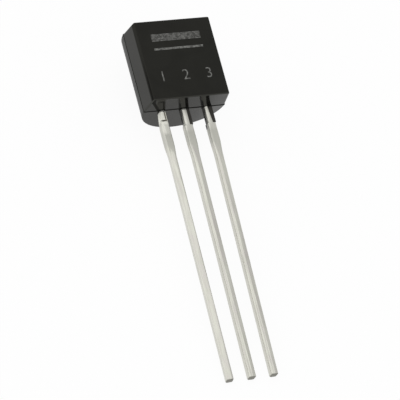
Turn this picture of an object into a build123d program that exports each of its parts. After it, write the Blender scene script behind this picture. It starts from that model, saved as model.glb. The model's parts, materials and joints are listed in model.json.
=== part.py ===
from build123d import *
import os
from math import asin, atan2, cos, degrees, hypot, pi, radians, sin, tan

os.makedirs("parts", exist_ok=True)

# Voltage regulator in the small three-lead plastic package with a flat front and a round back.
#
# Drawing frame, mm: X runs along the row of leads, Y goes from the flat face into the body,
# Z is up and the leads point down. Z = 0 is the face that the leads leave, at the parting plane.
# The last step lays the finished part on its round back and its lead tips, as it rests on a bench.

# Moulded body: two mould halves meet at the parting plane, where the section is largest
body_height = 4.53
body_depth = 3.53
flat_width = 4.18
parting_width = 4.53
parting_depth = 1.30
flank_draft = 7.0
flank_length = 0.22
end_draft = 1.0
mould_mismatch = 0.02
flat_edge_radius = 0.10
body_edge_radius = 0.07

# Gate scar, where the compound was broken off its runner, on the end opposite the leads
gate_width = 0.90
gate_depth = 0.34
gate_height = 0.05

# Lead frame: stamped strip, its front face flush with the parting plane
lead_pitch = 1.27
lead_width = 0.39
lead_thickness = 0.41
lead_length = 14.85
lead_edge_radius = 0.09
lead_lean = -0.23
tip_pull_in = 0.07
tip_edge_radius = 0.08

# Shoulder of a lead: the stubs left where the bar between the leads was punched away
shoulder_width = 0.47
shoulder_start = 0.90
shoulder_end = 1.85
taper_length = 0.80
taper_steps = 5

# Output lead: its neck widens evenly to the shoulder, and its run is turned a little on its axis
output_neck_width = 0.33
output_turn = -10.0

# Coined pad on the neck of the output lead, set off by a groove
pad_width = 0.18
pad_length = 0.52
groove_width = 0.07
groove_depth = 0.07

# Resin webs on the right of the other two necks, sheared off by the punch that took the bar away
web_film = 0.02
web_lap = 0.12
web_lap_at_input_exit = 0.20

# Die paddle, at the inner end of the ground lead
neck_height = 0.55
neck_hidden = 0.05
paddle_width = 1.50
paddle_foot = 1.20
paddle_top = 3.75
lock_hole_diameter = 0.36
lock_notch_radius = 0.11

# Bond posts, at the inner ends of the outer leads
frame_gap = 0.20
post_wall = 0.36
post_foot = 1.00
post_top = 2.75
frame_corner_radius = 0.06

# Regulator die on its attach layer, centred across the paddle
die_width = 1.14
die_height = 1.24
die_thickness = 0.28
die_shelf = 0.62
attach_thickness = 0.03
attach_margin = 0.05

# Bond wires, each from a ball on the die to the frame
wire_diameter = 0.05
wire_sides = 8
ball_diameter = 0.12
ball_height = 0.03
loop_rise = 0.20
loop_bow = 0.07
loop_radius = 0.10
bond_inset = 0.16

# Planes and places that follow from these sizes
frame_front = Plane(origin=(0, parting_depth, 0), x_dir=(1, 0, 0), z_dir=(0, -1, 0))
attach_front = frame_front.offset(attach_thickness)
die_front = attach_front.offset(die_thickness)
die_bottom = paddle_foot + die_shelf
die_middle = die_bottom + die_height / 2
die_top = die_bottom + die_height
post_inner = paddle_width / 2 + frame_gap
post_outer = parting_width / 2 - post_wall


def outline(points):
    """Flat face inside a closed run of straight lines."""
    return make_face(Polyline(points, close=True))


def mould_half(plan, side):
    """What one half of the mould forms: its section across the leads drawn up, trimmed to its side."""
    return extrude(plan, amount=body_height) & extrude(Plane.YZ * side, amount=parting_width, both=True)


def front_half():
    """The half with the flat: its sides and its ends draw in towards the flat."""
    half_flat = flat_width / 2
    half_front = parting_width / 2 - mould_mismatch
    rise = mould_mismatch + parting_depth * tan(radians(end_draft))
    plan = [(-half_flat, 0), (half_flat, 0), (half_front, parting_depth), (-half_front, parting_depth)]
    side = [(0, rise), (parting_depth, mould_mismatch),
            (parting_depth, body_height - mould_mismatch), (0, body_height - rise)]
    half = mould_half(outline(plan), outline(side))
    flat_edges = half.faces().sort_by(Axis.Y)[0].edges()
    half = fillet(flat_edges.filter_by(Axis.Z), flat_edge_radius)
    flat_loop = half.faces().sort_by(Axis.Y)[0].edges()
    rim = [e for e in flat_loop if abs(e.tangent_at(0.5).Z) < 0.5]
    corners = [e for e in half.edges() if e.center().Y > 0 and abs(e.tangent_at(0.5).Y) > 0.5]
    return fillet(rim + corners, body_edge_radius)


def back_half():
    """The round half: short drafted flanks, one arc round the back, and ends that draw in."""
    half_wide = parting_width / 2
    flank_x = half_wide - flank_length * tan(radians(flank_draft))
    flank_y = parting_depth + flank_length
    rise = (body_depth - parting_depth) * tan(radians(end_draft))
    open_side = Polyline((-flank_x, flank_y), (-half_wide, parting_depth), (half_wide, parting_depth),
                         (flank_x, flank_y))
    plan = make_face(open_side + ThreePointArc((flank_x, flank_y), (0, body_depth), (-flank_x, flank_y)))
    side = [(parting_depth, 0), (body_depth, rise), (body_depth, body_height - rise),
            (parting_depth, body_height)]
    half = mould_half(plan, outline(side))
    rim = [e for e in half.edges() if e.center().Y > parting_depth and abs(e.tangent_at(0.5).Z) < 0.5]
    return fillet(rim, body_edge_radius)


def gate_scar():
    """Low pad of broken-off compound across the parting plane, on the end opposite the leads."""
    return Pos(0, parting_depth, body_height) * Box(gate_width, gate_depth, 2 * gate_height)


def web(position, exit_lap):
    """Resin on the right of a neck: it fills the notch above the shoulder and laps over the lead."""
    edge = position * lead_pitch + lead_width / 2
    outer = position * lead_pitch + shoulder_width / 2
    points = [(outer, neck_height), (edge - exit_lap, neck_height), (edge - exit_lap, 0),
              (edge - web_lap, -shoulder_start), (outer, -shoulder_start)]
    return extrude(frame_front.offset(web_film) * outline(points), amount=-(web_film + lead_thickness))


def lead_section(height, middle, width, turn=0.0):
    """Section across a lead, turned about the lead's axis; its back stays level as it turns."""
    half_wide = width / 2 - lead_edge_radius
    half_thick = lead_thickness / 2 - lead_edge_radius
    half_depth = half_wide * sin(abs(turn)) + half_thick * cos(turn) + lead_edge_radius
    centre = (middle, parting_depth + lead_thickness - half_depth, height)
    plane = Plane(origin=centre, x_dir=(cos(turn), sin(turn), 0), z_dir=(0, 0, 1))
    return plane * RectangleRounded(width, lead_thickness, lead_edge_radius)


def lead_run(position):
    """A lead from the shoulder down: the punched stubs, an eased taper, the long run to the tip."""
    lead_x = position * lead_pitch
    lean = lead_lean - position * tip_pull_in
    full_turn = radians(output_turn) if position == -1 else 0.0
    sections = [lead_section(-shoulder_start, lead_x, shoulder_width)]
    for step in range(taper_steps + 1):
        share = step / taper_steps
        eased = (1 - cos(pi * share)) / 2
        fallen = share * taper_length
        middle = lead_x + lean * fallen / (lead_length - shoulder_end)
        width = shoulder_width + (lead_width - shoulder_width) * eased
        sections.append(lead_section(-shoulder_end - fallen, middle, width, full_turn * eased))
    sections.append(lead_section(-lead_length, lead_x + lean, lead_width, full_turn))
    run = loft(sections, ruled=True)
    return fillet(run.faces().sort_by(Axis.Z)[0].edges(), tip_edge_radius)


def neck(position):
    """The stretch between the shoulder and the resin, slimmer than the shoulder."""
    top_width = output_neck_width if position == -1 else lead_width
    foot_width = shoulder_width if position == -1 else lead_width
    right = position * lead_pitch + foot_width / 2
    top = lead_section(2 * neck_hidden, right - top_width / 2, top_width)
    return loft([lead_section(-shoulder_start, right - foot_width / 2, foot_width), top], ruled=True)


def inner_neck(position):
    """Front outline of the neck inside the resin."""
    length = neck_height - neck_hidden
    return Pos(position * lead_pitch, neck_hidden + length / 2) * Rectangle(lead_width, length)


def post(side):
    """Front outline of a bond post: flared off the neck, with a round notch that keys it in the resin."""
    lead_x = side * lead_pitch
    ends = sorted([side * post_inner, side * post_outer])
    points = [(lead_x - lead_width / 2, neck_height), (ends[0], post_foot), (ends[0], post_top),
              (ends[1], post_top), (ends[1], post_foot), (lead_x + lead_width / 2, neck_height)]
    face = outline(points)
    face = fillet([v for v in face.vertices() if v.Y > neck_height], frame_corner_radius)
    notch = Pos(side * post_outer, (post_foot + post_top) / 2)
    return face - notch * Circle(lock_notch_radius)


def paddle():
    """Front outline of the die paddle: flared foot, two keying notches, a locking hole above the die."""
    half = paddle_width / 2
    points = [(-lead_width / 2, neck_height), (-half, paddle_foot), (-half, paddle_top),
              (half, paddle_top), (half, paddle_foot), (lead_width / 2, neck_height)]
    face = outline(points)
    face = fillet([v for v in face.vertices() if v.Y > neck_height], frame_corner_radius)
    for side in (-1, 1):
        face -= Pos(side * half, paddle_foot + die_shelf / 2) * Circle(lock_notch_radius)
    return face - Pos(0, (die_top + paddle_top) / 2) * Circle(lock_hole_diameter / 2)


def groove():
    """Groove round the right side and the foot of the coined pad, sunk in the lead's front."""
    left = -lead_pitch - shoulder_width / 2
    right = -lead_pitch + shoulder_width / 2 - output_neck_width + pad_width
    points = [(right, 0), (right, -pad_length), (left, -pad_length), (left, -pad_length - groove_width),
              (right + groove_width, -pad_length - groove_width), (right + groove_width, 0)]
    return extrude(frame_front * outline(points), amount=-groove_depth)


def lead(position):
    """One lead of the frame, at place -1, 0 or 1 along the row, with its inner end in one piece."""
    inner = paddle() if position == 0 else post(position)
    solid = lead_run(position) + neck(position)
    solid += extrude(frame_front * (inner_neck(position) + inner), amount=-lead_thickness)
    return solid - groove() if position == -1 else solid


def attach_layer():
    """Thin layer of solder that holds the die on its paddle, showing a little all round it."""
    size = Rectangle(die_width + 2 * attach_margin, die_height + 2 * attach_margin)
    return extrude(frame_front * Pos(0, die_middle) * size, amount=attach_thickness)


def die():
    """The regulator's silicon chip."""
    size = Rectangle(die_width, die_height)
    return extrude(attach_front * Pos(0, die_middle) * size, amount=die_thickness)


def bond_wire(pad, landing):
    """Fine wire from a ball on a die pad to the frame; both places are (x, z) in the drawing frame."""
    start = die_front.origin + Vector(pad[0], 0, pad[1])
    end = frame_front.origin + Vector(landing[0], 0, landing[1])
    crown = start - Vector(0, loop_rise, 0)
    knee = (crown + end) / 2 - Vector(0, loop_bow, 0)
    past_end = end + (end - knee).normalized() * 2 * wire_diameter
    path = FilletPolyline(start, crown, knee, past_end, radius=loop_radius)
    section = RegularPolygon(wire_diameter / 2, wire_sides)
    strand = sweep(Plane(origin=start, z_dir=(0, -1, 0)) * section, path=path)
    strand -= extrude(frame_front * Pos(landing[0], landing[1]) * Circle(frame_gap), amount=-lead_thickness)
    ball = extrude(die_front * Pos(pad[0], pad[1]) * Circle(ball_diameter / 2), amount=ball_height)
    return strand + ball


def bond_wires():
    """The three wires: each outer post to its pad, and the ground pad down to the paddle."""
    reach = die_width / 2 - bond_inset
    post_middle = (post_inner + post_outer) / 2
    landing_height = post_top - 2 * bond_inset
    return {
        "bond_wire_output": bond_wire((-reach, die_top - bond_inset), (-post_middle, landing_height)),
        "bond_wire_input": bond_wire((reach, die_middle), (post_middle, landing_height)),
        "bond_wire_ground": bond_wire((0, die_bottom + bond_inset), (0, paddle_foot + bond_inset)),
    }


def moulded_body(inside):
    """The resin body with its webs and gate scar, moulded round everything that it encloses."""
    solid = front_half() + back_half() + gate_scar()
    solid += [web(0, web_lap), web(1, web_lap_at_input_exit)]
    for piece in inside:
        solid -= piece
    return solid


def rest_tilt():
    """Angle between the drawing's Y axis and straight down, lying on the back rim and the lead tips."""
    back_rise = (body_depth - parting_depth) * tan(radians(end_draft))
    drop = body_depth - body_edge_radius - (parting_depth + lead_thickness - tip_edge_radius)
    reach = back_rise + body_edge_radius + lead_length - tip_edge_radius
    return degrees(atan2(drop, reach) + asin((body_edge_radius - tip_edge_radius) / hypot(drop, reach)))


parts = {"lead_output": lead(-1), "lead_ground": lead(0), "lead_input": lead(1),
         "die_attach": attach_layer(), "regulator_die": die()}
parts.update(bond_wires())
parts["moulded_body"] = moulded_body(list(parts.values()))

laid = {name: Rot(rest_tilt() - 90, 0, 0) * piece for name, piece in parts.items()}
box = Compound(list(laid.values())).bounding_box()
place = Pos(-box.center().X, -box.center().Y, -box.min.Z)
for name, piece in laid.items():
    export_step(place * piece, f"parts/{name}.step")
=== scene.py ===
import json
from math import atan2, pi, radians

import bpy
from mathutils import Matrix, Vector


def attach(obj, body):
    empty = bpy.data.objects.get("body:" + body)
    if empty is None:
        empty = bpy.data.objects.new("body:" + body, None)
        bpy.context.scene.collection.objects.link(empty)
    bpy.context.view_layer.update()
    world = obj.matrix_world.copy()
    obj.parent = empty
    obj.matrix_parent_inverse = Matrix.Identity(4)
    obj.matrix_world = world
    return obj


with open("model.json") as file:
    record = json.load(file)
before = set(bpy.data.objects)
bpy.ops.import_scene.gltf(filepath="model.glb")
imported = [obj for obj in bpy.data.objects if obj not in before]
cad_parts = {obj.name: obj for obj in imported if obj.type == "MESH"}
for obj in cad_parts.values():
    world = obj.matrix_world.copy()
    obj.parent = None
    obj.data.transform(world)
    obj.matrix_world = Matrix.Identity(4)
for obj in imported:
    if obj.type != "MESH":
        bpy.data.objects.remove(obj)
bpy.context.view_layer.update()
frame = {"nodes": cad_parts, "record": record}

bpy.ops.object.select_all(action="DESELECT")
nodes = frame["nodes"]

# ---- Moulded body ---------------------------------------------------------------------------
# Black epoxy compound, pressed round the lead frame in a two-part mould. The mould is spark-
# eroded where it makes the flat face, and polished where it makes the sides and the round back.

MM = 1000.0
body_height = 4.53
parting_depth = 1.30

# The part lies on its back. Its drawing stands upright, with 0 on the flat face where the leads
# leave, so materials turn and shift the frame's axes back to the drawing's
flat_mount = next(m for m in frame["record"]["mounts"] if m["name"] == "flat_front")
flat_middle = Vector(flat_mount["pos_m"])
flat_normal = Vector(flat_mount["axis"])
along_row = Vector((1, 0, 0))
part_rise = flat_normal.cross(along_row)
body_tilt = atan2(-flat_normal.y, flat_normal.z)
part_turn = Matrix.Rotation(pi / 2 - body_tilt, 4, "X")
part_shift = Vector((0, 0, body_height / 2)) - part_turn @ (flat_middle * MM)


def plug(tree, socket, value):
    """Links an input to another node's socket, or sets it to a plain value."""
    if isinstance(value, bpy.types.NodeSocket):
        tree.links.new(value, socket)
    else:
        socket.default_value = value


def lay_node(tree, kind, settings=None, **feeds):
    """Adds a shader node; each feed is a plain value or the socket that goes into that input."""
    node = tree.nodes.new("ShaderNode" + kind)
    for name, value in (settings or {}).items():
        setattr(node, name, value)
    for name, value in feeds.items():
        plug(tree, node.inputs[name.replace("_", " ")], value)
    return node


def reckon(tree, operation, first, second=0.0, third=0.0):
    """Adds a Math node on sockets or plain numbers and returns its result."""
    node = lay_node(tree, "Math", {"operation": operation})
    for slot, value in enumerate((first, second, third)):
        plug(tree, node.inputs[slot], value)
    return node.outputs["Value"]


def meet(tree, *masks):
    """Masks multiplied together, with any share or size that scales them."""
    shared = masks[0]
    for mask in masks[1:]:
        shared = reckon(tree, "MULTIPLY", shared, mask)
    return shared


def rest_of(tree, mask):
    """The mask of everything that the given mask leaves out."""
    return reckon(tree, "SUBTRACT", 1.0, mask)


def fade(tree, value, start, end):
    """A mask that rises smoothly from 0 at start to 1 at end; end may be the smaller one."""
    ramp = lay_node(tree, "MapRange", {"interpolation_type": "SMOOTHSTEP"},
                    Value=value, From_Min=start, From_Max=end)
    return ramp.outputs["Result"]


def between(tree, share, low, high):
    """A value that goes evenly from low to high as the share goes from 0 to 1."""
    return lay_node(tree, "MapRange", Value=share, To_Min=low, To_Max=high).outputs["Result"]


def tint(tree, share, under, over):
    """Lays one colour over another by a share; a colour is a socket or three plain numbers."""
    under, over = (colour if isinstance(colour, bpy.types.NodeSocket) else (*colour, 1)
                   for colour in (under, over))
    return lay_node(tree, "MixRGB", Fac=share, Color1=under, Color2=over).outputs["Color"]


def turned_to(tree, direction):
    """How far the surface faces a direction: 1 is straight at it, 0 edge on, -1 away."""
    facing = lay_node(tree, "NewGeometry").outputs["Normal"]
    towards = lay_node(tree, "VectorMath", {"operation": "DOT_PRODUCT"}, Vector=facing)
    towards.inputs[1].default_value = direction
    return towards.outputs["Value"]


def lean_over(tree, normal, amount, direction):
    """Leans a normal by an amount of a direction; set_normal evens its length again."""
    leaned = lay_node(tree, "VectorMath", {"operation": "MULTIPLY_ADD"})
    for slot, value in enumerate((amount, direction, normal)):
        plug(tree, leaned.inputs[slot], value)
    return leaned.outputs["Vector"]


def set_normal(tree, shader, normal):
    """Evens a leaned normal to length 1 and gives it to the shader."""
    even = lay_node(tree, "VectorMath", {"operation": "NORMALIZE"}, Vector=normal)
    tree.links.new(even.outputs["Vector"], shader.inputs["Normal"])


def new_finish(name):
    """An empty material with its Principled shader and the part's own axes in millimetres.

    The axes follow the part's drawing: x along the row of leads, y from the flat face into the
    body, z up the body with 0 where the leads leave it.
    """
    finish = bpy.data.materials.new(name)
    finish.use_nodes = True
    tree = finish.node_tree
    shader = tree.nodes["Principled BSDF"]
    coords = lay_node(tree, "TexCoord")
    axes = lay_node(tree, "Mapping", Vector=coords.outputs["Object"], Scale=(MM, MM, MM),
                    Rotation=part_turn.to_euler(), Location=part_shift)
    return finish, tree, shader, axes.outputs["Vector"]


def new_effect(name, inputs, outputs):
    """A node group with named inputs and outputs; each is (name, socket kind, default)."""
    group = bpy.data.node_groups.new(name, "ShaderNodeTree")
    for label, kind, default in inputs:
        socket = group.interface.new_socket(label, in_out="INPUT", socket_type="NodeSocket" + kind)
        if default is not None:
            socket.default_value = default
    for label, kind in outputs:
        group.interface.new_socket(label, in_out="OUTPUT", socket_type="NodeSocket" + kind)
    feed = group.nodes.new("NodeGroupInput")
    result = group.nodes.new("NodeGroupOutput")
    return group, feed.outputs, result.inputs


def use_effect(tree, group, **feeds):
    """Places a node group in a material with that material's own values."""
    node = tree.nodes.new("ShaderNodeGroup")
    node.node_tree = group
    for name, value in feeds.items():
        plug(tree, node.inputs[name.replace("_", " ")], value)
    return node.outputs


# Fine grain: two sizes of noise, for surfaces that moulding, rolling or drawing leaves uneven
finer_by, finer_share = 2.7, 0.5
fine_grain, feed, result = new_effect(
    "fine_grain", [("Vector", "Vector", None), ("Fineness", "Float", 20.0)], [("Height", "Float")])
coarse = lay_node(fine_grain, "TexNoise", Vector=feed["Vector"], Scale=feed["Fineness"],
                  Detail=3.0, Roughness=0.6)
finer_scale = reckon(fine_grain, "MULTIPLY", feed["Fineness"], finer_by)
finer = lay_node(fine_grain, "TexNoise", Vector=feed["Vector"], Scale=finer_scale,
                 Detail=2.0, Roughness=0.5)
blend = reckon(fine_grain, "MULTIPLY_ADD", finer.outputs["Fac"], finer_share, coarse.outputs["Fac"])
fine_grain.links.new(blend, result["Height"])

# Clouding: slow, uneven change of tone, as flow in a mould or handling leaves it
cloud_edges = (0.35, 0.65)
clouding, feed, result = new_effect(
    "clouding", [("Vector", "Vector", None), ("Size", "Float", 1.0)], [("Mask", "Float")])
cloud_scale = reckon(clouding, "DIVIDE", 1.0, feed["Size"])
cloud = lay_node(clouding, "TexNoise", Vector=feed["Vector"], Scale=cloud_scale,
                 Detail=4.0, Roughness=0.62, Distortion=0.6)
clouding.links.new(fade(clouding, cloud.outputs["Fac"], *cloud_edges), result["Mask"])

# The faces of the body: the flat, the two ends, and the flanks of the back half. A pair of numbers
# below is where a mask starts and where it is full, in millimetres or as a share of facing.
flat_skin = (0.01, 0.05)
end_facing = (0.90, 0.97)
behind_line = (parting_depth + 0.01, parting_depth + 0.04)
resin, tree, shader, axes = new_finish("moulded_resin")
place = lay_node(tree, "SeparateXYZ", Vector=axes).outputs
flat_face = rest_of(tree, fade(tree, place["Y"], *flat_skin))
to_end = reckon(tree, "ABSOLUTE", turned_to(tree, part_rise))
end_face = fade(tree, to_end, *end_facing)
back_flank = meet(tree, fade(tree, place["Y"], *behind_line), rest_of(tree, end_face))

# Slow flow marks in the black, and pale specks of filler
deep_black, flow_black = (0.0045, 0.0045, 0.0040), (0.0070, 0.0070, 0.0062)
filler_tone, filler_share = (0.030, 0.030, 0.028), 0.35
flow_size, speck_fineness, speck_edges = 1.6, 34.0, (0.66, 0.74)
flow = use_effect(tree, clouding, Vector=axes, Size=flow_size)["Mask"]
filler = lay_node(tree, "TexNoise", Vector=axes, Scale=speck_fineness, Detail=1.0).outputs["Fac"]
speck = meet(tree, fade(tree, filler, *speck_edges), filler_share)
specked = tint(tree, speck, tint(tree, flow, deep_black, flow_black), filler_tone)

# The witness line where the halves of the mould meet, widest along the row of leads and
# plainest on the end that the leads leave. It is matt and sunk a little; its dark colour is
# painted shade of the gap between the halves.
gap_shade_tone, gap_shade_share = (0.002, 0.002, 0.002), 0.9
line_edges, row_widening, row_reach = (0.034, 0.012), 0.016, (1.75, 1.40)
lead_end, share_elsewhere = (0.02, 0.10), 0.15
from_parting = reckon(tree, "ABSOLUTE", reckon(tree, "SUBTRACT", place["Y"], parting_depth))
in_row = fade(tree, reckon(tree, "ABSOLUTE", place["X"]), *row_reach)
from_line = reckon(tree, "MULTIPLY_ADD", in_row, -row_widening, from_parting)
on_lead_end = rest_of(tree, fade(tree, place["Z"], *lead_end))
plainness = reckon(tree, "MULTIPLY_ADD", on_lead_end, 1.0 - share_elsewhere, share_elsewhere)
witness = meet(tree, fade(tree, from_line, *line_edges), plainness)
# painted shade: the witness line's colour is darkened for the shade in its gap
gap_shaded = tint(tree, meet(tree, witness, gap_shade_share), specked, gap_shade_tone)

# The rims round the ends are painted paler, a painted sheen on their rounding, and the webs beside
# the necks are thin and pale
rim_sheen_tone, rim_from_flank, rim_from_end = (0.028, 0.028, 0.025), (0.15, 0.50), (0.995, 0.88)
web_tone, below_body = (0.046, 0.044, 0.040), (-0.01, -0.04)
rim = meet(tree, fade(tree, to_end, *rim_from_flank), fade(tree, to_end, *rim_from_end))
# painted sheen: the rims round the ends are given a paler colour
rim_sheened = tint(tree, rim, gap_shaded, rim_sheen_tone)
webbed = tint(tree, fade(tree, place["Z"], *below_body), rim_sheened, web_tone)

# The flanks roll over into the flat, and the roll is matt, most of all towards the leads; its
# darker colour is painted shade along that edge
roll_shade_tone, roll_depth, off_end = (0.001, 0.001, 0.001), (0.30, 0.12), (0.50, 0.20)
matt_reach, least_matt = (3.2, 0.8), 0.35
rolled = meet(tree, fade(tree, place["Y"], *roll_depth), fade(tree, to_end, *off_end),
              rest_of(tree, flat_face))
towards_leads = fade(tree, place["Z"], *matt_reach)
mattness = reckon(tree, "MULTIPLY_ADD", towards_leads, 1.0 - least_matt, least_matt)
matt_and_shaded_roll = meet(tree, rolled, mattness)
# painted shade: the rolled edge is darkened in colour as well as made matt
tree.links.new(tint(tree, matt_and_shaded_roll, webbed, roll_shade_tone), shader.inputs["Base Color"])

# The comb of the mould left a matt track on the end, from the output lead to the corner of the
# flat, where it is widest
track_root, track_slope, track_edges = -1.43, 0.60, (0.125, 0.070)
track_widening, wide_part = 0.13, (0.5, 0.0)
before_line = (parting_depth + 0.01, parting_depth - 0.02)
track_height = (0.9, 0.3)
track_middle = reckon(tree, "MULTIPLY_ADD", place["Y"], track_slope,
                      track_root - track_slope * parting_depth)
from_track = reckon(tree, "ABSOLUTE", reckon(tree, "SUBTRACT", place["X"], track_middle))
off_track = reckon(tree, "MULTIPLY_ADD", fade(tree, place["Y"], *wide_part), -track_widening,
                   from_track)
on_track = meet(tree, fade(tree, off_track, *track_edges), fade(tree, place["Z"], *track_height),
                fade(tree, place["Y"], *before_line), end_face)

# Polished sides with faint smudges, a sparked flat, and back flanks that handling has worn
smudge_size, least_smudged, most_smudged = 0.45, 0.10, 0.16
flat_roughness, worn_roughness, line_roughness, matt_roughness = 0.62, 0.42, 0.8, 0.85
smudge = use_effect(tree, clouding, Vector=axes, Size=smudge_size)["Mask"]
side_gloss = between(tree, smudge, least_smudged, most_smudged)
gloss = between(tree, flat_face, side_gloss, flat_roughness)
for mask, roughness in ((witness, line_roughness), (on_track, matt_roughness),
                        (matt_and_shaded_roll, matt_roughness)):
    gloss = reckon(tree, "MAXIMUM", gloss, meet(tree, mask, roughness))
tree.links.new(between(tree, back_flank, gloss, worn_roughness), shader.inputs["Roughness"])

# Sparked grain on the flat, next to none on the sides, and the sunken witness line
grain_fineness, side_grain, flat_grain, line_depth = 16.0, 0.0006, 0.0045, 0.008
resin_edge, bevel_rays = 0.03, {"samples": 6}
grain = use_effect(tree, fine_grain, Vector=axes, Fineness=grain_fineness)["Height"]
grain_height = meet(tree, grain, between(tree, flat_face, side_grain, flat_grain))
sunk = reckon(tree, "MULTIPLY_ADD", witness, -line_depth, grain_height)
soft_edges = lay_node(tree, "Bevel", bevel_rays, Radius=resin_edge / MM).outputs["Normal"]
grained = lay_node(tree, "Bump", Height=sunk, Distance=1.0 / MM, Normal=soft_edges)

# The ends are crowned a little across the row, where the resin shrank, most at the right corner;
# the back half stands a little steeper than the front one
crown_slope, crown_middle = 0.040, -0.082
corner_reach, corner_crown = (0.7, 1.9), 0.12
back_half, back_crown = (parting_depth - 0.02, parting_depth + 0.02), 0.055
crown = reckon(tree, "MULTIPLY_ADD", place["X"], crown_slope, crown_middle)
crown = reckon(tree, "MULTIPLY_ADD", fade(tree, place["X"], *corner_reach), corner_crown, crown)
crown = reckon(tree, "MULTIPLY_ADD", fade(tree, place["Y"], *back_half), back_crown, crown)
crowned = lean_over(tree, grained.outputs["Normal"], meet(tree, end_face, crown), along_row)
set_normal(tree, shader, lean_over(tree, crowned, rolled, flat_normal))
shader.inputs["Specular IOR Level"].default_value = 0.262
shader.inputs["Specular Tint"].default_value = (1.0, 0.995, 0.86, 1)
nodes["moulded_body"].data.materials[0] = resin

# ---- Leads ----------------------------------------------------------------------------------
# Three legs of a stamped copper-alloy frame, plated with satin tin. The bar that joined them was
# punched away, which leaves cut sides at the shoulders, and the ends were sheared off.

lead_pitch = 1.27
shoulder_end = 1.85
lead_length = 14.85
lead_lean = -0.23
tip_pull_in = 0.07

# Where on a lead: beside is the distance from its middle at the body, across the same on the
# leaning run, and run_share goes from 0 at the shoulder to 1 at the tip
front_facing = (0.60, 0.95)
right_of_output = (-0.90, -0.70)
tin, tree, shader, axes = new_finish("tinned_frame")
place = lay_node(tree, "SeparateXYZ", Vector=axes).outputs
beside = reckon(tree, "WRAP", place["X"], lead_pitch / 2, -lead_pitch / 2)
run_share = lay_node(tree, "MapRange", Value=place["Z"], From_Min=-shoulder_end,
                     From_Max=-lead_length).outputs["Result"]
lean = reckon(tree, "MULTIPLY_ADD", place["X"], -tip_pull_in / lead_pitch, lead_lean)
across = reckon(tree, "SUBTRACT", beside, reckon(tree, "MULTIPLY", lean, run_share))
front = fade(tree, turned_to(tree, flat_normal), *front_facing)
to_left = turned_to(tree, -along_row)
off_output = fade(tree, place["X"], *right_of_output)
on_output = rest_of(tree, off_output)

# Satin tin with patches, a faint warm blush, and streaks drawn out along the strip
green_tin, warm_tin = (0.552, 0.554, 0.484), (0.594, 0.582, 0.540)
blush_tone, blush_share = (0.590, 0.550, 0.534), 0.55
streak_tone, streak_edges = (0.655, 0.655, 0.585), (0.60, 0.95)
streak_stretch, streak_fineness = (1.0, 1.0, 0.07), 9.0
patch_size, blush_size = 0.9, 0.35
drawn_out = lay_node(tree, "VectorMath", {"operation": "MULTIPLY"}, Vector=axes)
drawn_out.inputs[1].default_value = streak_stretch
streaks = use_effect(tree, fine_grain, Vector=drawn_out.outputs["Vector"],
                     Fineness=streak_fineness)["Height"]
patches = use_effect(tree, clouding, Vector=axes, Size=patch_size)["Mask"]
blush = use_effect(tree, clouding, Vector=axes, Size=blush_size)["Mask"]
blushed = tint(tree, meet(tree, blush, blush_share), tint(tree, patches, green_tin, warm_tin),
               blush_tone)
streaked = tint(tree, fade(tree, streaks, *streak_edges), blushed, streak_tone)

# The necks are painted paler near the body, a painted highlight that fades out towards the
# shoulders
neck_highlight_tone, neck_highlight_reach, neck_highlight_share = (0.665, 0.660, 0.600), (-1.40, -1.10), 0.8
# painted highlight: the necks are given a paler tin colour near the body
neck_highlight = meet(tree, fade(tree, place["Z"], *neck_highlight_reach), neck_highlight_share)
neck_highlighted = tint(tree, neck_highlight, streaked, neck_highlight_tone)

# The left faces of the runs are painted paler, a painted highlight on that side
left_highlight_tone, left_highlight_facing, left_highlight_reach = (0.695, 0.688, 0.625), (0.35, 0.80), (0.0, 0.05)
# painted highlight: faces turned to the left are given a paler tin colour
left_highlight = meet(tree, fade(tree, to_left, *left_highlight_facing), fade(tree, run_share, *left_highlight_reach))
left_highlighted = tint(tree, left_highlight, neck_highlighted, left_highlight_tone)

# Shoulders, rubbed dull by the punch as far as the tongue where the run begins. Their even tone is
# painted shade, and their left faces get a paler tone, a painted highlight
punch_shade_tone, cut_highlight_tone = (0.592, 0.590, 0.535), (0.640, 0.636, 0.585)
tongue_slope, tongue_start, tongue_bend, tongue_length = 2.2, 0.45, 1.5, 0.9
punch_start = (-1.15, -1.40)
punch_end = (-shoulder_end - 0.22, -shoulder_end - 0.05)
highlight_side_facing = (0.45, 0.85)
tongue = reckon(tree, "MULTIPLY_ADD", beside, tongue_slope, tongue_start)
tongue = reckon(tree, "POWER", reckon(tree, "MAXIMUM", tongue, 0.0), tongue_bend)
to_tongue = reckon(tree, "MULTIPLY_ADD", tongue, tongue_length, place["Z"])
# painted shade on the shoulders' even tone, and a painted highlight on their left faces
punched_dull_and_shaded = meet(tree, fade(tree, place["Z"], *punch_start), fade(tree, to_tongue, *punch_end))
lit_cut_side = meet(tree, punched_dull_and_shaded, fade(tree, to_left, *highlight_side_facing))
shoulder_shaded = tint(tree, lit_cut_side, tint(tree, punched_dull_and_shaded, left_highlighted, punch_shade_tone), cut_highlight_tone)

# The groove round the coined pad on the output lead's neck is painted dark on its right side,
# painted shade in the recess
groove_shade_tone = (0.190, 0.180, 0.150)
pad_end, pad_side = (-0.66, -0.60), (-0.90, -1.00)
groove_top = (parting_depth + 0.004, parting_depth + 0.016)
groove_floor = (parting_depth + 0.085, parting_depth + 0.075)
groove_right_part = (-lead_pitch - 0.10, -lead_pitch - 0.04)
on_pad = meet(tree, fade(tree, place["Z"], *pad_end), fade(tree, place["X"], *pad_side))
in_groove = meet(tree, fade(tree, place["Y"], *groove_top), fade(tree, place["Y"], *groove_floor))
# painted shade: the right side of the pad's groove is given a dark colour
groove_shade = meet(tree, on_pad, in_groove, fade(tree, place["X"], *groove_right_part))
groove_shaded = tint(tree, groove_shade, shoulder_shaded, groove_shade_tone)

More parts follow.
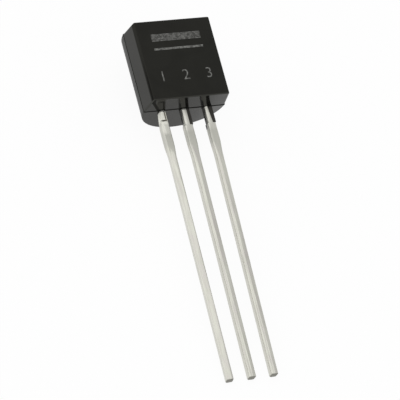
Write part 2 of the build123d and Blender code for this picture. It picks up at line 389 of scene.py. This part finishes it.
# The shear leaves base metal on the ends, and rounds their edges
base_metal, bare_share = (0.24, 0.235, 0.210), 0.85
rounded_tip = (-lead_length + 0.25, -lead_length + 0.10)
shear_mark = (-lead_length + 0.07, -lead_length + 0.02)
near_tip = fade(tree, place["Z"], *rounded_tip)
sheared = fade(tree, place["Z"], *shear_mark)
bared = tint(tree, meet(tree, sheared, bare_share), groove_shaded, base_metal)

# A skin of resin clings to the left side of the ground and input necks, furthest down on the
# input lead, and thinner towards the root
thick_skin, thin_skin = (0.016, 0.016, 0.015), (0.075, 0.074, 0.068)
skin_slant, skin_end, skin_facing = 0.31, (-0.90, -0.80), (0.55, 0.80)
thin_part, thin_widening = (-0.44, -0.30), 0.15
skin_edge = (parting_depth + 0.13, parting_depth + 0.17)
root_height, left_of_input, root_share = (-0.07, -0.03), (0.90, 0.70), 0.9
by_root = fade(tree, place["Z"], *thin_part)
from_end = reckon(tree, "MULTIPLY_ADD", place["X"], skin_slant, place["Z"])
from_front = reckon(tree, "MULTIPLY_ADD", by_root, thin_widening, place["Y"])
side_skin = meet(tree, fade(tree, from_end, *skin_end), fade(tree, to_left, *skin_facing),
                 fade(tree, from_front, *skin_edge), off_output)
root = meet(tree, fade(tree, place["Z"], *root_height), fade(tree, place["X"], *left_of_input),
            root_share)
skin = reckon(tree, "MAXIMUM", side_skin, root)
skinned = tint(tree, skin, bared, tint(tree, by_root, thick_skin, thin_skin))
tree.links.new(skinned, shader.inputs["Base Color"])
tree.links.new(rest_of(tree, skin), shader.inputs["Metallic"])

# Roughness: satin tin, rougher where it was punched, roughest where it was sheared
smooth_satin, rough_satin, punch_roughness, shear_roughness = 0.30, 0.36, 0.52, 0.60
satin = between(tree, patches, smooth_satin, rough_satin)
punch_dulled = between(tree, punched_dull_and_shaded, satin, punch_roughness)
tree.links.new(between(tree, sheared, punch_dulled, shear_roughness), shader.inputs["Roughness"])

# Relief: shallow dents from handling, drawn streaks, and edges that are rounder at the tips
dent_fineness, dent_depth, streak_depth = 1.3, 0.02, 0.0012
tin_edge, tip_rounding = 0.05, 0.06
dents = lay_node(tree, "TexNoise", Vector=axes, Scale=dent_fineness, Detail=2.0).outputs["Fac"]
relief = reckon(tree, "MULTIPLY_ADD", dents, dent_depth, meet(tree, streaks, streak_depth))
edge_radius = reckon(tree, "MULTIPLY_ADD", near_tip, tip_rounding / MM, tin_edge / MM)
soft_edges = lay_node(tree, "Bevel", bevel_rays, Radius=edge_radius).outputs["Normal"]
dented = lay_node(tree, "Bump", Height=relief, Distance=1.0 / MM, Normal=soft_edges)

# The punch leaves the front of each neck falling to the left of a crease and down to the
# shoulder. On the output lead that is below the pad, mostly in a streak at its left
left_fall, crease_edges = 0.28, (0.01, -0.06)
streak_middle, pad_streak_edges, streak_start = lead_pitch + 0.10, (0.065, 0.030), (-0.85, -0.65)
least_pressed, below_pad, other_necks = 0.35, (-1.40, -1.28), (-1.30, -0.55)
down_fall, pad_top_fall, pad_top = 0.18, 0.16, (-0.40, -0.15)
crease = reckon(tree, "MAXIMUM", fade(tree, beside, *crease_edges), on_output)
from_streak = reckon(tree, "ABSOLUTE", reckon(tree, "ADD", place["X"], streak_middle))
in_streak = reckon(tree, "MAXIMUM", fade(tree, from_streak, *pad_streak_edges),
                   fade(tree, place["Z"], *streak_start))
streak_press = reckon(tree, "MULTIPLY_ADD", in_streak, 1.0 - least_pressed, least_pressed)
pad_press = meet(tree, fade(tree, place["Z"], *below_pad), streak_press)
neck_press = between(tree, off_output, pad_press, fade(tree, place["Z"], *other_necks))
on_pad_top = meet(tree, on_output, fade(tree, place["Z"], *pad_top))
drop = reckon(tree, "MULTIPLY_ADD", on_pad_top, pad_top_fall, down_fall)
fall = lay_node(tree, "CombineXYZ", X=meet(tree, crease, -left_fall),
                Y=meet(tree, drop, -part_rise.y), Z=meet(tree, drop, -part_rise.z))
pressed = lean_over(tree, dented.outputs["Normal"], meet(tree, front, neck_press),
                    fall.outputs["Vector"])

# The coined pad's left side is rolled forward and down
pad_roll, pad_roll_down = 1.6, 0.28
on_pad_side = meet(tree, fade(tree, to_left, *skin_facing), meet(tree, on_pad, pad_roll))
pad_rolled = lean_over(tree, pressed, on_pad_side, flat_normal - part_rise * pad_roll_down)

# Down the run the left front edge is drawn out to a broad soft slope that is steepest at its
# right end; on the output lead it takes up nearly the whole front
slope_lean, slope_start, slope_edges = (-0.32, 0, 0), (0.0, 0.12), (0.02, -0.02)
edge_at_start, edge_drift = -0.05, 0.06
output_extra, output_widening, output_reach = 0.03, 0.13, (0.06, 0.24)
ridge_width, output_ridge, least_steep = (-0.085, -0.045), 0.15, 0.45
slope_edge = reckon(tree, "MULTIPLY_ADD", meet(tree, run_share, run_share), edge_drift,
                    edge_at_start)
widened = reckon(tree, "MULTIPLY_ADD", fade(tree, run_share, *output_reach), output_widening,
                 output_extra)
slope_edge = reckon(tree, "MULTIPLY_ADD", on_output, widened, slope_edge)
from_edge = reckon(tree, "SUBTRACT", across, slope_edge)
on_slope = meet(tree, fade(tree, from_edge, *slope_edges), fade(tree, run_share, *slope_start))
ridge = reckon(tree, "MAXIMUM", fade(tree, from_edge, *ridge_width),
               meet(tree, on_output, output_ridge))
steepness = reckon(tree, "MULTIPLY_ADD", ridge, 1.0 - least_steep, least_steep)
sloped = lean_over(tree, pad_rolled, meet(tree, on_slope, front, steepness), slope_lean)
set_normal(tree, shader, sloped)
for name in ("lead_output", "lead_ground", "lead_input"):
    nodes[name].data.materials[0] = tin

# ---- Die and its solder ---------------------------------------------------------------------
# The silicon chip that does the regulating, sawn from a wafer with its circuit etched into the
# top, and the thin layer of soft solder that fixes it to the paddle of the ground lead.

dark_solder, pale_solder = (0.34, 0.34, 0.35), (0.46, 0.46, 0.47)
solder_patch, wrinkle_fineness, wrinkle_height = 0.2, 14.0, 0.003
solder, tree, shader, axes = new_finish("soft_solder")
cloudy = use_effect(tree, clouding, Vector=axes, Size=solder_patch)["Mask"]
tree.links.new(tint(tree, cloudy, dark_solder, pale_solder), shader.inputs["Base Color"])
wrinkle = use_effect(tree, fine_grain, Vector=axes, Fineness=wrinkle_fineness)["Height"]
surface = lay_node(tree, "Bump", Height=meet(tree, wrinkle, wrinkle_height), Distance=1.0 / MM)
tree.links.new(surface.outputs["Normal"], shader.inputs["Normal"])
shader.inputs["Metallic"].default_value = 1.0
shader.inputs["Roughness"].default_value = 0.45
nodes["die_attach"].data.materials[0] = solder

# The chip's fields of transistors, in a grid of aluminium tracks
blue_field, brown_field = (0.050, 0.060, 0.095, 1), (0.080, 0.075, 0.070, 1)
aluminium = (0.30, 0.29, 0.25, 1)
haze_size, clear_roughness, hazy_roughness = 0.3, 0.10, 0.18
silicon, tree, shader, axes = new_finish("etched_silicon")
fields = lay_node(tree, "TexBrick", {"offset": 0.3}, Vector=axes, Scale=6.0, Mortar_Size=0.03,
                  Color1=blue_field, Color2=brown_field, Mortar=aluminium)
tree.links.new(fields.outputs["Color"], shader.inputs["Base Color"])
haze = use_effect(tree, clouding, Vector=axes, Size=haze_size)["Mask"]
tree.links.new(between(tree, haze, clear_roughness, hazy_roughness), shader.inputs["Roughness"])
nodes["regulator_die"].data.materials[0] = silicon

# ---- Bond wires -----------------------------------------------------------------------------
# Fine drawn gold. Each wire is melted to a ball on the die, looped over, and stitched down on a
# post or on the paddle.

deep_gold, bright_gold = (0.83, 0.58, 0.22), (0.90, 0.68, 0.32)
drawing_fineness, drawing_edges = 40.0, (0.5, 1.0)
gold, tree, shader, axes = new_finish("drawn_gold")
drawn = use_effect(tree, fine_grain, Vector=axes, Fineness=drawing_fineness)["Height"]
tree.links.new(tint(tree, fade(tree, drawn, *drawing_edges), deep_gold, bright_gold),
               shader.inputs["Base Color"])
shader.inputs["Metallic"].default_value = 1.0
shader.inputs["Roughness"].default_value = 0.25
for name in ("bond_wire_output", "bond_wire_input", "bond_wire_ground"):
    nodes[name].data.materials[0] = gold

# ---- Pin numbers and bars -------------------------------------------------------------------
# A laser marks the flat face: it burns the skin of the compound to a thin grey ash. Plain pin
# numbers stand over the leads, with two plain bars above them.

ash_thickness = 0.004
dark_ash, pale_ash, burn_size = (0.075, 0.075, 0.070), (0.230, 0.230, 0.218), 0.16

ash, tree, shader, axes = new_finish("laser_ash")
burn = use_effect(tree, clouding, Vector=axes, Size=burn_size)["Mask"]
tree.links.new(tint(tree, burn, dark_ash, pale_ash), shader.inputs["Base Color"])
shader.inputs["Roughness"].default_value = 0.85
shader.inputs["Specular IOR Level"].default_value = 0.2


def seat_mark(mark, across, up):
    """Turns a mark on to the flat face at a place in millimetres from its middle, and fixes it."""
    on_flat = flat_middle + (along_row * across + part_rise * up) / MM
    mark.location = on_flat - flat_normal * (ash_thickness / 4 / MM)
    mark.rotation_euler = (body_tilt, 0, 0)
    bpy.ops.object.select_all(action="DESELECT")
    mark.select_set(True)
    bpy.context.view_layer.objects.active = mark
    bpy.ops.object.transform_apply(location=True, rotation=True, scale=True)
    mark.data.materials.clear()
    mark.data.materials.append(ash)
    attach(mark, "root")


number_height = 0.62
size_to_height = 1.35
thinning = 0.008
number_up = -0.98

for pin in (1, 2, 3):
    bpy.ops.object.text_add()
    number = bpy.context.object
    number.name = f"pin_number_{pin}"
    number.data.body = str(pin)
    number.data.align_x = "CENTER"
    number.data.align_y = "CENTER"
    number.data.size = number_height / MM * size_to_height
    number.data.offset = -thinning / MM
    number.data.extrude = ash_thickness / 2 / MM
    number.data.resolution_u = 6
    bpy.ops.object.convert(target="MESH")
    seat_mark(number, (pin - 2) * lead_pitch, number_up)

# Each bar is burnt as rows of strokes with rounded ends: its name, its height, how broad a stroke
# is, and how far up from the middle it stands
bar_width = 2.70
stroke_pitch = 0.060
stroke_corner = 0.012
bars = (("broad_bar", 0.42, 0.036, 1.42), ("narrow_bar", 0.12, 0.052, 0.62))

for name, height, stroke, up in bars:
    bpy.ops.mesh.primitive_plane_add(size=1.0 / MM)
    bar = bpy.context.object
    bar.name = name
    bar.scale = (bar_width, stroke, 1.0)
    bpy.ops.object.transform_apply(scale=True)
    bpy.ops.object.mode_set(mode="EDIT")
    bpy.ops.mesh.select_all(action="SELECT")
    bpy.ops.mesh.bevel(offset=stroke_corner / MM, segments=3, affect="VERTICES")
    bpy.ops.mesh.extrude_region_move(TRANSFORM_OT_translate={"value": (0, 0, ash_thickness / MM)})
    bpy.ops.mesh.select_all(action="SELECT")
    bpy.ops.mesh.normals_make_consistent(inside=False)
    bpy.ops.object.mode_set(mode="OBJECT")
    rows = bar.modifiers.new("rows", "ARRAY")
    rows.count = round(height / stroke_pitch)
    rows.use_relative_offset = False
    rows.use_constant_offset = True
    rows.constant_offset_displace = (0, -stroke_pitch / MM, 0)
    bpy.ops.object.modifier_apply(modifier="rows")
    seat_mark(bar, 0.0, up)

# ---- Floor, light and camera ----------------------------------------------------------------
# A plain white table under one big soft lamp on the left, in a pale room. The table isn't part of
# the object. The camera looks down at the part from the lead side and a little from the left.

floor_size = 1.6
table_white, room_grey = 0.98, 0.75
seen_white, mirrored_white = 0.93, 0.65

bpy.ops.mesh.primitive_plane_add(size=floor_size)
floor = bpy.context.object
floor.name = "floor"
table = bpy.data.materials.new("white_table")
table.use_nodes = True
tree = table.node_tree
tree.nodes.clear()
painted = lay_node(tree, "BsdfDiffuse", Color=(table_white, table_white, table_white, 1))
lit = lay_node(tree, "Emission", Color=(1, 1, 1, 1), Strength=1.0)
path = lay_node(tree, "LightPath").outputs
mirrored = reckon(tree, "MAXIMUM", path["Is Glossy Ray"], path["Is Transmission Ray"])
washed = reckon(tree, "MAXIMUM", meet(tree, path["Is Camera Ray"], seen_white),
                meet(tree, mirrored, mirrored_white))
mixed = lay_node(tree, "MixShader")
for slot, source in enumerate((washed, painted.outputs["BSDF"], lit.outputs["Emission"])):
    tree.links.new(source, mixed.inputs[slot])
tree.links.new(mixed.outputs["Shader"], lay_node(tree, "OutputMaterial").inputs["Surface"])
floor.data.materials.append(table)

room = bpy.data.worlds.new("pale_room")
bpy.context.scene.world = room
room.use_nodes = True
backdrop = room.node_tree.nodes["Background"]
backdrop.inputs["Color"].default_value = (room_grey, room_grey, room_grey, 1)
backdrop.inputs["Strength"].default_value = 1.0


def hang_softbox(name, towards, distance, size, radiance):
    """A square lamp that faces the part from the given direction, with its brightness per area."""
    direction = Vector(towards).normalized()
    lamp = bpy.data.lights.new(name, "AREA")
    lamp.size = size
    lamp.energy = radiance * size * size * pi
    hung = bpy.data.objects.new(name, lamp)
    hung.location = direction * distance
    hung.rotation_euler = direction.to_track_quat("Z", "Y").to_euler()
    bpy.context.scene.collection.objects.link(hung)


hang_softbox("softbox_left", towards=(-0.55, 0.20, 0.75), distance=0.40, size=0.66, radiance=0.42)

aim = Vector((-0.546, -0.127, 1.668)) / MM
eye = Vector((-61.66, -73.39, 130.22)) / MM
camera_roll = radians(27.73)
focal_length = 285.8
lens = bpy.data.cameras.new("camera")
lens.lens = focal_length
lens.clip_start = 0.01
camera = bpy.data.objects.new("camera", lens)
turn = (aim - eye).to_track_quat("-Z", "Y").to_matrix().to_4x4()
camera.matrix_world = Matrix.Translation(eye) @ turn @ Matrix.Rotation(camera_roll, 4, "Z")
bpy.context.scene.collection.objects.link(camera)
bpy.context.scene.camera = camera
bpy.context.scene.view_settings.view_transform = "Standard"
